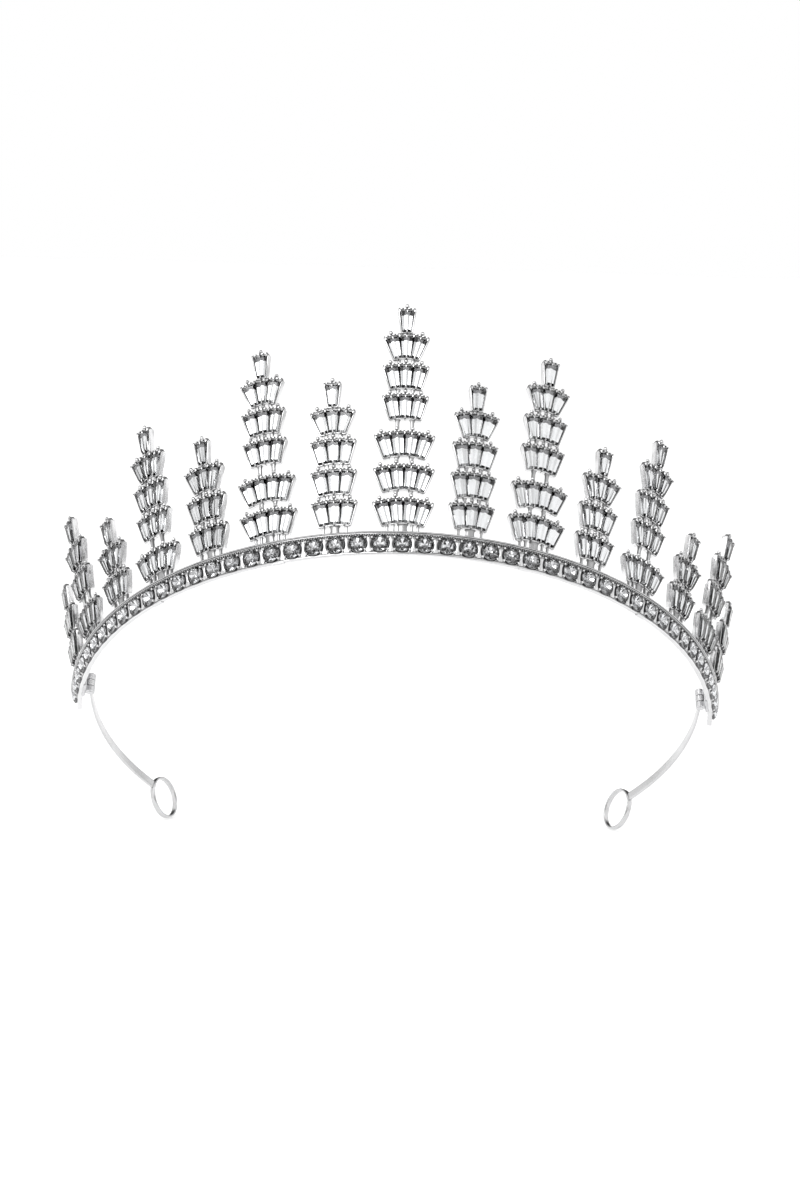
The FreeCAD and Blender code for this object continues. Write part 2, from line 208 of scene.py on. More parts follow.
def rounded(corners: np.ndarray, reach: float, steps: int = 3) -> np.ndarray:
    """Closed outline with each corner turned into a curve.

    From a point before the corner to one after it, (1-t)^2 before + 2t(1-t) corner + t^2 after.

    Args:
        corners: Corner points, in order.
        reach: How far from its corner each curve starts.
        steps: Points along each curve.

    Returns:
        The outline's points, steps to a corner.
    """
    def towards(other: np.ndarray) -> np.ndarray:
        """Points on the way to the neighbours.

        Args:
            other: The corners' neighbours on one side.

        Returns:
            One point a corner, never past 0.45 of the way.
        """
        gap = other - corners
        length = np.linalg.norm(gap, axis=1, keepdims=True)
        return corners + gap / length * np.minimum(reach, length * 0.45)

    before, after = towards(np.roll(corners, 1, axis=0)), towards(np.roll(corners, -1, axis=0))
    t = np.linspace(0, 1, steps)[None, :, None]
    curve = ((1 - t) ** 2 * before[:, None] + 2 * t * (1 - t) * corners[:, None]
             + t ** 2 * after[:, None])
    return curve.reshape(-1, corners.shape[1])


def soft_box(x: tuple[float, float], y: tuple[float, float], z: tuple[float, float],
             edge: float) -> Shape:
    """Block with rounded upright edges and eased rims: outline rings drawn in near both ends.

    Args:
        x: Lowest and highest x.
        y: Lowest and highest y.
        z: Lowest and highest z.
        edge: How far from a corner its curve starts.

    Returns:
        The closed block.
    """
    def ring(inset: float, height: float) -> np.ndarray:
        """Outline at one height.

        Args:
            inset: How far it is drawn in.
            height: Its z.

        Returns:
            The outline's points.
        """
        corners = np.array([(x[0] + inset, y[0] + inset), (x[1] - inset, y[0] + inset),
                            (x[1] - inset, y[1] - inset), (x[0] + inset, y[1] - inset)])
        flat = rounded(corners, edge)
        return np.column_stack([flat, np.full(len(flat), height)])

    ease = edge * EASE
    return skinned(np.stack([ring(ease, z[0]), ring(0, z[0] + ease), ring(0, z[1] - ease),
                             ring(ease, z[1])]))


def carried(path: np.ndarray, across: np.ndarray, over: np.ndarray, widths: np.ndarray,
            depths: np.ndarray, segments: int = 10, squareness: float = 2.0,
            closed: bool = False) -> Shape:
    """Rounded section carried along a path.

    The section is a superellipse: sgn(cos a)|cos a|^(2/n) across and sgn(sin a)|sin a|^(2/n) over.

    Args:
        path: Centre of each section.
        across: Direction of each section's width.
        over: Direction of each section's depth.
        widths: Half width at each section.
        depths: Half depth at each section.
        segments: Points round the section.
        squareness: The power n; 2 is an ellipse and more is squarer.
        closed: Whether the path closes up.

    Returns:
        The closed shape.
    """
    angle = (np.arange(segments) + 0.5) * 2 * math.pi / segments
    cosine, sine = np.cos(angle), np.sin(angle)
    u = np.sign(cosine) * np.abs(cosine) ** (2 / squareness)
    v = np.sign(sine) * np.abs(sine) ** (2 / squareness)
    grid = (path[:, None] + u[None, :, None] * (across * widths[:, None])[:, None]
            + v[None, :, None] * (over * depths[:, None])[:, None])
    return skinned(grid, closed=closed)


# ---------------------------------------------------------------- where things stand

@dataclass(frozen=True)
class RingPose:
    """The circle through the band's stones and how it is worn, in millimetres and degrees."""

    radius: float = 75.0
    flare: float = 12.4
    tilt: float = 40.0

    def axes(self, degrees: np.ndarray) -> np.ndarray:
        """Rows along the band, up the spire and outwards, at each angle from the front.

        Args:
            degrees: Angles from the front.

        Returns:
            One matrix an angle.
        """
        a, f = np.radians(np.atleast_1d(degrees)), math.radians(self.flare)
        zero, one = np.zeros_like(a), np.ones_like(a)
        across = np.stack([np.cos(a), np.sin(a), zero], axis=-1)
        out = np.stack([np.sin(a), -np.cos(a), zero], axis=-1)
        rise = np.stack([zero, zero, one], axis=-1)
        return np.stack([across, out * math.sin(f) + rise * math.cos(f),
                         out * math.cos(f) - rise * math.sin(f)], axis=1)

    def origins(self, degrees: np.ndarray) -> np.ndarray:
        """Points on the stone circle at each angle from the front."""
        a = np.radians(np.atleast_1d(degrees))
        return self.radius * np.stack([np.sin(a), -np.cos(a), np.zeros_like(a)], axis=-1)

    def on_band(self, shape: Shape, degrees: float | np.ndarray) -> Shape:
        """Copies of a flat-frame shape at each angle, in the ring frame."""
        return shape.copies(self.axes(degrees), self.origins(degrees))

    def worn(self, points: np.ndarray) -> np.ndarray:
        """Ring-frame millimetres to metres as worn: (x, y cos t + z sin t, -y sin t + z cos t)."""
        c, s = math.cos(math.radians(self.tilt)), math.sin(math.radians(self.tilt))
        return points @ np.array([[1, 0, 0], [0, c, -s], [0, s, c]]) * METRES


RING = RingPose()


# ---------------------------------------------------------------- shader maths

class Graph:
    """A material's or a world's nodes, added one at a time."""

    def __init__(self, tree: bpy.types.NodeTree) -> None:
        """Start from an empty tree."""
        self.tree = tree
        tree.nodes.clear()

    def node(self, kind: str, settings: dict[str, Any] | None = None,
             inputs: dict[str | int, Any] | None = None) -> bpy.types.Node:
        """Add a node.

        Args:
            kind: Its type, without the leading ShaderNode.
            settings: Its own settings, set first; "stops" holds a ramp's places and colours.
            inputs: Values or links of its sockets, by name or number.

        Returns:
            The new node.
        """
        made = self.tree.nodes.new("ShaderNode" + kind)
        for name, value in (settings or {}).items():
            if name == "stops":
                self.stops(made, value)
            else:
                setattr(made, name, value)
        for name, value in (inputs or {}).items():
            if isinstance(value, Socket):
                self.tree.links.new(value.socket, made.inputs[name])
            elif isinstance(value, bpy.types.NodeSocket):
                self.tree.links.new(value, made.inputs[name])
            else:
                made.inputs[name].default_value = value
        return made

    @staticmethod
    def stops(ramp: bpy.types.Node, stops: Sequence[tuple[float, Sequence[float]]]) -> None:
        """Put a ramp's colours at their places.

        Args:
            ramp: The ramp's node.
            stops: A place from 0 to 1 and a colour, in order.
        """
        elements = ramp.color_ramp.elements
        while len(elements) < len(stops):
            elements.new(0.5)
        for element, (place, colour) in zip(elements, stops):
            element.position = place
            element.color = colour

    def value(self, kind: str, output: str | int = 0, settings: dict[str, Any] | None = None,
              inputs: dict[str | int, Any] | None = None) -> "Socket":
        """Add a node and wrap one of its outputs."""
        return Socket(self, self.node(kind, settings, inputs).outputs[output])

    def dress(self, inputs: dict[str | int, Any]) -> None:
        """Add the main shader with these values and links, and the material's output."""
        shader = self.node("BsdfPrincipled", None, inputs)
        self.node("OutputMaterial", None, {"Surface": shader.outputs[0]})

    def mixed(self, factor: Any, first: Any, second: Any) -> "Socket":
        """Colour between two, by a factor."""
        return self.value("Mix", 2, {"data_type": "RGBA"}, {0: factor, 6: first, 7: second})


class Socket:
    """An output socket that does arithmetic by adding Math nodes."""

    def __init__(self, graph: Graph, socket: bpy.types.NodeSocket) -> None:
        """Wrap a socket of a graph."""
        self.graph = graph
        self.socket = socket

    def maths(self, operation: str, *values: Any) -> "Socket":
        """Result of a Math node on some values."""
        return self.graph.value("Math", 0, {"operation": operation}, dict(enumerate(values)))

    def __add__(self, other: Any) -> "Socket":
        """Sum."""
        return self.maths("ADD", self, other)

    def __sub__(self, other: Any) -> "Socket":
        """Difference."""
        return self.maths("SUBTRACT", self, other)

    def __mul__(self, other: Any) -> "Socket":
        """Product."""
        return self.maths("MULTIPLY", self, other)

    def __rsub__(self, other: Any) -> "Socket":
        """Difference from a number."""
        return self.maths("SUBTRACT", other, self)

    __radd__ = __add__
    __rmul__ = __mul__

    def smooth(self, low: float, high: float) -> "Socket":
        """Smooth step from 0 at low to 1 at high."""
        return self.graph.value("MapRange", 0, {"interpolation_type": "SMOOTHSTEP"},
                                {0: self, 1: low, 2: high, 3: 0.0, 4: 1.0})


# ---------------------------------------------------------------- finishes

def fresh_material(name: str) -> tuple[bpy.types.Material, Graph]:
    """New material with an empty node tree.

    Args:
        name: The material's name.

    Returns:
        The material and its nodes.
    """
    material = bpy.data.materials.new(name)
    material.use_nodes = True
    return material, Graph(material.node_tree)


@dataclass(frozen=True)
class Plating:
    """Bright silver-coloured plating over a cast or rolled surface."""

    name: str
    colour: tuple[float, float, float]
    painted_shade: tuple[float, float, float]
    roughness: float = 0.14
    roughness_spread: float = 0.12
    grain: float = 700.0
    dents: float = 0.25
    scratches: float = 0.15

    def build(self) -> bpy.types.Material:
        """Metal with painted shade mixed into its colour where the painted light level is low, cloudy
        polish, small casting dents and fine scratches.

        Returns:
            The new material.
        """
        material, graph = fresh_material(self.name)
        place = graph.value("TexCoord", "Object")
        painted_light = graph.value("Attribute", "Fac", {"attribute_name": "painted_light"})
        cloud = graph.value("TexNoise", 0, None,
                            {"Vector": place, "Scale": self.grain * 0.35, "Detail": 3.0})
        pits = graph.value("TexNoise", 0, None, {"Vector": place, "Scale": self.grain, "Detail": 2.0})
        streaks = graph.value("TexNoise", 0, None, {
            "Vector": graph.value("Mapping", 0, None, {"Vector": place, "Scale": (1.0, 1.0, 9.0)}),
            "Scale": self.grain * 1.6, "Detail": 2.0})
        polish = graph.mixed(cloud.smooth(0.35, 0.7), (*self.colour, 1),
                             tuple(c * 0.93 for c in self.colour) + (1,))
        # Painted shade: the colour goes to the shade colour where the painted light level is low, in
        # recesses and under other parts.
        colour = graph.mixed(painted_light, (*self.painted_shade, 1), polish)
        rough = (cloud * self.roughness_spread + streaks * 0.05 + (self.roughness - 0.05)
                 + (1 - painted_light) * 0.2)
        relief = pits * self.dents + streaks * self.scratches
        bump = graph.value("Bump", 0, None, {"Strength": 0.25, "Distance": 0.00004, "Height": relief})
        graph.dress({"Base Color": colour, "Roughness": rough, "Metallic": 1.0, "Normal": bump})
        return material


@dataclass(frozen=True)
class CutCrystal:
    """Clear cut crystal, polished on every facet."""

    name: str
    tint: tuple[float, float, float] = (0.985, 0.99, 1.0)
    index: float = 1.56

    def build(self) -> bpy.types.Material:
        """Glass with faint clouding and hairline polishing marks.

        Returns:
            The new material.
        """
        material, graph = fresh_material(self.name)
        place = graph.value("TexCoord", "Object")
        cloud = graph.value("TexNoise", 0, None, {"Vector": place, "Scale": 420.0, "Detail": 2.0})
        colour = graph.mixed(cloud.smooth(0.3, 0.75), (*self.tint, 1),
                             tuple(c * 0.95 for c in self.tint) + (1,))
        bump = graph.value("Bump", 0, None, {"Strength": 0.08, "Distance": 0.00002, "Height": cloud})
        graph.dress({"Base Color": colour, "Roughness": cloud * 0.02, "IOR": self.index,
                     "Transmission Weight": 1.0, "Normal": bump})
        return material


@dataclass(frozen=True)
class FoilBack:
    """Silvered back of a crystal, seen through the stone."""

    name: str
    bright: tuple[float, float, float] = (0.82, 0.825, 0.83)
    dull: tuple[float, float, float] = (0.62, 0.63, 0.65)

    def build(self) -> bpy.types.Material:
        """Mirror whose silvering is duller in patches and goes to the dull colour where the painted
        light level is low.

        Returns:
            The new material.
        """
        material, graph = fresh_material(self.name)
        place = graph.value("TexCoord", "Object")
        painted_light = graph.value("Attribute", "Fac", {"attribute_name": "painted_light"})
        cloud = graph.value("TexNoise", 0, None, {"Vector": place, "Scale": 300.0, "Detail": 2.0})
        worn = graph.mixed(cloud.smooth(0.45, 0.8) * 0.4, (*self.bright, 1), (*self.dull, 1))
        # Painted shade: a low painted light level pulls the foil to its dull colour.
        colour = graph.mixed(painted_light, (*self.dull, 1), worn)
        graph.dress({"Base Color": colour, "Roughness": cloud * 0.05 + 0.02, "Metallic": 1.0})
        return material


@dataclass(frozen=True)
class Finishes:
    """Every material of the tiara."""

    band: bpy.types.Material
    spire: bpy.types.Material
    hinge: bpy.types.Material
    arm: bpy.types.Material
    round_crystal: bpy.types.Material
    baguette_crystal: bpy.types.Material
    foil: bpy.types.Material
    dark_foil: bpy.types.Material
    round_shade: bpy.types.Material

    @classmethod
    def made(cls) -> "Finishes":
        """All the finishes, built.

        Returns:
            The finishes.
        """
        # shade is the painted shade colour that the platings take where their painted light level is
        # low.
        silver, shade = (0.74, 0.74, 0.745), (0.07, 0.07, 0.072)
        return cls(
            band=Plating("band_plating", silver, shade, 0.12, 0.1, 650.0).build(),
            spire=Plating("spire_plating", (0.82, 0.82, 0.825), shade, 0.12, 0.14, 900.0).build(),
            hinge=Plating("hinge_plating", (0.66, 0.66, 0.67), (0.2, 0.2, 0.21), 0.2, 0.15).build(),
            arm=Plating("arm_plating", (0.64, 0.64, 0.645), shade, 0.22, 0.12, 500.0,
                        scratches=0.5).build(),
            round_crystal=CutCrystal("round_crystal_cut").build(),
            baguette_crystal=CutCrystal("baguette_crystal_cut", (0.98, 0.985, 0.99)).build(),
            foil=FoilBack("crystal_foil").build(),
            # Painted reflection: these two darker foils go on chosen back facets of the stones and
            # stand in for the dark reflections seen inside them.
            dark_foil=FoilBack("foil_painted_dark", (0.2, 0.2, 0.205), (0.05, 0.05, 0.05)).build(),
            round_shade=FoilBack("foil_painted_grey", (0.36, 0.36, 0.365), (0.12, 0.12, 0.12)).build())


# ---------------------------------------------------------------- making pieces

class Body(Enum):
    """The three bodies that pieces ride on."""

    HEADBAND = "headband"
    LEFT_ARM = "left_arm"
    RIGHT_ARM = "right_arm"


@dataclass(frozen=True)
class Ticket:
    """What a piece stands for and rides on."""

    name: str
    nodes: tuple[str, ...]
    slot: str
    body: Body = Body.HEADBAND
    crease: float = METAL_CREASE


def make_piece(ticket: Ticket, shape: Shape,
               materials: Sequence[bpy.types.Material]) -> bpy.types.Object:
    """Put a ring-frame shape into the scene as a piece of the tiara.

    Args:
        ticket: The piece's name, nodes, slot and body, and the angle past which an edge is sharp.
        shape: The shape in the ring frame.
        materials: The finishes that its blocks count through.

    Returns:
        The new object, at the origin with its place in its mesh.
    """
    points = RING.worn(shape.points)
    corners = np.concatenate([block.ravel() for block in shape.blocks])
    sizes = np.concatenate([np.full(len(block), block.shape[1]) for block in shape.blocks])
    finish = np.concatenate([np.full(len(block), k) for block, k in zip(shape.blocks, shape.finishes)])
    mesh = bpy.data.meshes.new(ticket.name)
    mesh.vertices.add(len(points))
    mesh.vertices.foreach_set("co", points.ravel())
    mesh.loops.add(len(corners))
    mesh.loops.foreach_set("vertex_index", corners)
    mesh.polygons.add(len(sizes))
    mesh.polygons.foreach_set("loop_start", np.cumsum(sizes) - sizes)
    mesh.polygons.foreach_set("material_index", finish)
    mesh.polygons.foreach_set("use_smooth", np.ones(len(sizes), bool))
    mesh.update(calc_edges=True)
    mesh.set_sharp_from_angle(angle=math.radians(ticket.crease))
    # Painted light: each point's level goes on as an attribute, and the platings mix painted shade into
    # their colour where it is low.
    painted_light = mesh.attributes.new("painted_light", "FLOAT", "POINT")
    painted_light.data.foreach_set("value", shape.painted_light_levels)
    for material in materials:
        mesh.materials.append(material)
    piece = bpy.data.objects.new(ticket.name, mesh)
    bpy.context.scene.collection.objects.link(piece)
    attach(piece, ticket.body.value)
    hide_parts(*ticket.nodes)
    LOG.info("%s: %d points, %d faces", ticket.name, len(points), len(sizes))
    return piece


# ---------------------------------------------------------------- the band

@dataclass
class Band:
    """Channel of round brilliants in collars, with hourglass bridges and beads between them."""

    stone_step: float = 3.677
    stones_per_side: int = 23
    half_angle: float = 86.9
    back: float = -1.45
    floor: float = -1.05
    front: float = 0.5
    front_low: float = -0.3
    top: float = 2.6
    top_inside: float = 1.95
    bottom: float = -2.3
    bottom_inside: float = -1.85
    stone_radius: float = 1.8
    bead_radius: float = 0.3
    bead_x: float = 0.74
    bead_y: float = 1.38
    tab_angles: tuple[float, ...] = (-46.0, -21.0, 0.0, 21.0, 46.0)
    sections: int = 281
    slack: float = 0.03
    grains: int = 9

    def channel(self) -> Shape:
        """The section of outward and upward offsets, swept round the ring's axis.

        Returns:
            The channel in the ring frame.
        """
        section = np.array([
            (self.back, -2.12), (-1.39, -2.24), (-1.27, self.bottom),
            (self.front_low - 0.14, self.bottom), (self.front_low - 0.03, -2.26),
            (self.front_low, -2.18), (self.front_low, -2.0),
            (-0.36, self.bottom_inside), (-0.9, self.bottom_inside), (self.floor, -1.68),
            (self.floor, 1.78), (-0.9, self.top_inside), (0.2, self.top_inside), (0.3, 1.99),
            (0.36, 2.06), (0.36, 2.14), (0.26, 2.2), (0.26, 2.27), (0.44, 2.33), (self.front, 2.42),
            (0.45, 2.53), (0.32, self.top), (-1.27, self.top), (-1.39, 2.54), (self.back, 2.4)])
        # Painted light levels of the section's points: painted shade inside the channel, darkest in the
        # groove on the top rim, and full light on the back, bottom and top faces.
        painted_light_levels = np.array([1, 1, 1, 1, 1, 1, 0.8, 0.4, 0.4, 0.4, 0.4, 0.4, 0.4, 0.6, 0.7, 0.6, 0.05,
                          0.05, 0.7, 0.9, 0.9, 1, 1, 1, 1], float)
        f = math.radians(RING.flare)
        radius = RING.radius + section[:, 0] * math.cos(f) + section[:, 1] * math.sin(f)
        height = section[:, 1] * math.cos(f) - section[:, 0] * math.sin(f)
        a = np.radians(np.linspace(-self.half_angle, self.half_angle, self.sections))[:, None]
        grid = np.stack([radius * np.sin(a), -radius * np.cos(a),
                         np.broadcast_to(height, (len(a), len(height)))], axis=-1)
        return skinned(grid).with_painted_light(np.tile(painted_light_levels, len(a)))

    def brilliant(self) -> Shape:
        """Round stone: table, eight stars, eight kites, girdle and a pointed back of eight mains.

        Its rings stand at (r cos a, r sin a, h), each next ring half a step round.

        Returns:
            The stone, its table towards z.
        """
        def ring(count: int, radius: float, height: float, half: float = 0.0) -> np.ndarray:
            """Points on a circle at one height, turned by a part of their step."""
            a = (np.arange(count) + half) * 2 * math.pi / count
            return np.column_stack([radius * np.cos(a), radius * np.sin(a), np.full(count, height)])

        r = self.stone_radius - self.slack
        points = np.concatenate([
            ring(8, 0.98, 0.68), ring(8, 1.4, 0.44, 0.5), ring(16, r, 0.1), ring(16, r, -0.05),
            ring(8, 1.0, -0.5, 0.5), ring(1, 0.02, -0.93)])
        table, star, high, low, pavilion, culet = 0, 8, 16, 32, 48, 56
        k = np.arange(8)
        n = (k + 1) % 8
        g = np.arange(16)
        h = (g + 1) % 16
        even, odd, after = 2 * k, 2 * k + 1, (2 * k + 2) % 16
        mains = np.stack([pavilion + k, low + even, pavilion + (k - 1) % 8, np.full(8, culet)], 1)
        blocks = [
            (table + k)[None],
            np.stack([table + k, star + k, table + n], 1),
            np.stack([star + (k - 1) % 8, high + even, star + k, table + k], 1),
            np.concatenate([np.stack([star + k, high + even, high + odd], 1),
                            np.stack([star + k, high + odd, high + after], 1)]),
            np.stack([high + g, low + g, low + h, high + h], 1),
            np.stack([pavilion + k, low + odd, low + even], 1),
            np.stack([pavilion + k, low + after, low + odd], 1),
            mains[::2], mains[1::2]]
        # Painted reflection: half of the lower halves and every other main take the grey foil (finish
        # 2), standing in for the dark star seen inside a brilliant; the rest take the bright foil.
        return Shape(points, blocks, [0, 0, 0, 0, 0, 2, 1, 1, 2]).outward()

    def collar(self) -> Shape:
        """Round cup wall that holds one stone: a closed profile turned about z.

        Returns:
            The collar round z.
        """
        around = 28
        profile = [(1.86, -1.04), (1.92, -1.0), (1.96, -0.1), (1.95, 0.08), (1.9, 0.15), (1.84, 0.1),
                   (1.81, -0.1), (1.62, -0.55), (1.52, -1.0)]
        # Painted shade: the cup's inside and outer wall are dark and only the top of its rim lighter,
        # giving the dark ring round each stone.
        painted_light_levels = np.repeat([0.2, 0.3, 0.1, 0.1, 0.55, 0.1, 0, 0, 0], around)
        return lathed(profile, around, closed=True).with_painted_light(painted_light_levels)

    def bridge(self) -> Shape:
        """Hourglass web between two stones with four prong beads and a grained ridge over them.

        Its half width is the room left beside a circle round the next stone: half the step less
        sqrt(R^2 - y^2).  Its crown falls away towards both sides.

        Returns:
            The bridge, its crown towards z.
        """
        half_step = math.radians(self.stone_step) * RING.radius / 2
        y = np.linspace(self.bottom_inside + 0.02, self.top_inside - 0.02, 15)[:, None]
        reach = self.stone_radius + 0.2
        waist = half_step - np.sqrt(np.maximum(reach ** 2 - y ** 2, 0.0)) + 0.02
        half = np.clip(waist, 0.3, 1.7)
        section = np.array([(-1.0, -1.03), (-1.0, -0.5), (-0.82, -0.26), (-0.35, -0.14), (0.0, -0.11),
                            (0.35, -0.14), (0.82, -0.26), (1.0, -0.5), (1.0, -1.03)])
        grid = np.stack(np.broadcast_arrays(half * section[:, 0], y, section[:, 1]), axis=-1)
        # Painted shade: each web is darker on its upper part and towards its sides; the beads and
        # grains darken towards their feet.
        fall = np.where(y > 0.9, 0.45, 1.0)
        web = skinned(grid).with_painted_light(np.outer(fall, [0.1, 0.4, 0.8, 0.9, 1, 0.9, 0.8, 0.4, 0.1]).ravel())
        turn = np.linspace(0, math.pi / 2, 5)[::-1]
        dome = [(self.bead_radius, -1.0)] + [
            (max(self.bead_radius * math.sin(a), 0.02), self.bead_radius * math.cos(a)) for a in turn]
        bead = lathed(dome, 10).with_painted_light(np.repeat([0.3, 0.7, 0.9, 1, 1, 1], 10))
        spots = np.array([(x, y, 0.0) for x in (-self.bead_x, self.bead_x)
                          for y in (-self.bead_y, self.bead_y)])
        grain = lathed([(0.2, -1.0), (0.2, 0.05), (0.14, 0.16), (0.02, 0.2)], 8)
        grain = grain.with_painted_light(np.repeat([0, 0.1, 0.5, 0.7], 8))
        k = np.arange(self.grains)
        row = np.column_stack([np.linspace(-2.1, 2.1, self.grains), np.where(k % 2, 1.84, 1.72),
                               np.full(self.grains, 0.12)])
        upright = np.eye(3)[None]
        return together([web, bead.copies(np.repeat(upright, len(spots), 0), spots),
                         grain.copies(np.repeat(upright, self.grains, 0), row)])

    def tab(self) -> Shape:
        """Small solder tab under the lower edge."""
        return soft_box((-1.4, 1.4), (self.bottom - 0.24, self.bottom), (-1.2, -0.1), 0.1)

    def build(self, finishes: Finishes) -> None:
        """Make and dress the band's pieces.

        Args:
            finishes: Every material.
        """
        places = np.arange(-self.stones_per_side, self.stones_per_side + 1) * self.stone_step
        between = (places[1:] + places[:-1]) / 2
        metal = [finishes.band]
        make_piece(Ticket("band_rail", ("band_channel",), "band_metal"), self.channel(), metal)
        make_piece(Ticket("band_brilliants", ("band_stones",), "round_crystal", crease=FACET_CREASE),
                   RING.on_band(self.brilliant(), places),
                   [finishes.round_crystal, finishes.foil, finishes.round_shade])
        make_piece(Ticket("band_collars", ("band_seats",), "band_metal"),
                   RING.on_band(self.collar(), places), metal)
        make_piece(Ticket("band_bridges", ("band_prongs",), "band_metal"),
                   RING.on_band(self.bridge(), between), metal)
        make_piece(Ticket("band_solder_tabs", ("edge_tabs",), "band_metal"),
                   RING.on_band(self.tab(), np.array(self.tab_angles)), metal)


# ---------------------------------------------------------------- the spires

@dataclass(frozen=True)
class Fan:
    """Row of tapered stones round a fan's centre, which is below the row."""

    radius: float
    step: float
    count: int
    bottom: float
    length: float = 5.2

    @property
    def centre(self) -> float:
        """Height of the fan's centre."""
        return self.bottom - self.radius

    @property
    def turns(self) -> np.ndarray:
        """Angle of each stone's own axis."""
        return (np.arange(self.count) - (self.count - 1) / 2) * self.step

    @property
    def edges(self) -> np.ndarray:
        """Angle of each line between stones, and of both ends."""
        return (np.arange(self.count + 1) - self.count / 2) * self.step

    def corners(self, grow: float) -> np.ndarray:
        """Outline of the row grown all round.

        Corners lie on the edge angles at (radius - grow) / cos(step / 2) below and
        (radius + length + grow) / cos(step / 2) above, and the two ends are moved out sideways.

        Args:
            grow: Millimetres outwards, or inwards below zero.

        Returns:
            The corners in order, as x and y.
        """
        spread = math.cos(math.radians(self.step / 2))
        a = np.radians(np.concatenate([self.edges, self.edges[::-1]]))
        reach = np.repeat([(self.radius - grow) / spread, (self.radius + self.length + grow) / spread],
                          self.count + 1)
        ends = np.zeros(len(a))
        ends[[0, -1]] = -grow
        ends[[self.count, self.count + 1]] = grow
        return np.column_stack([reach * np.sin(a) + ends * np.cos(a),
                                self.centre + reach * np.cos(a) - ends * np.sin(a)])

    def spread(self, shape: Shape, angles: np.ndarray) -> Shape:
        """Copies of a shape drawn up the fan's own y axis, one at each angle.

        Args:
            shape: The shape, drawn with the fan's centre at the origin.
            angles: Degrees clockwise from upright.

        Returns:
            The copies about the fan's centre.
        """
        a = np.radians(angles)
        zero, one = np.zeros_like(a), np.ones_like(a)
        rows = np.stack([np.stack([np.cos(a), -np.sin(a), zero], -1),
                         np.stack([np.sin(a), np.cos(a), zero], -1),
                         np.stack([zero, zero, one], -1)], axis=1)
        return shape.copies(rows, np.tile([0.0, self.centre, 0.0], (len(a), 1)))


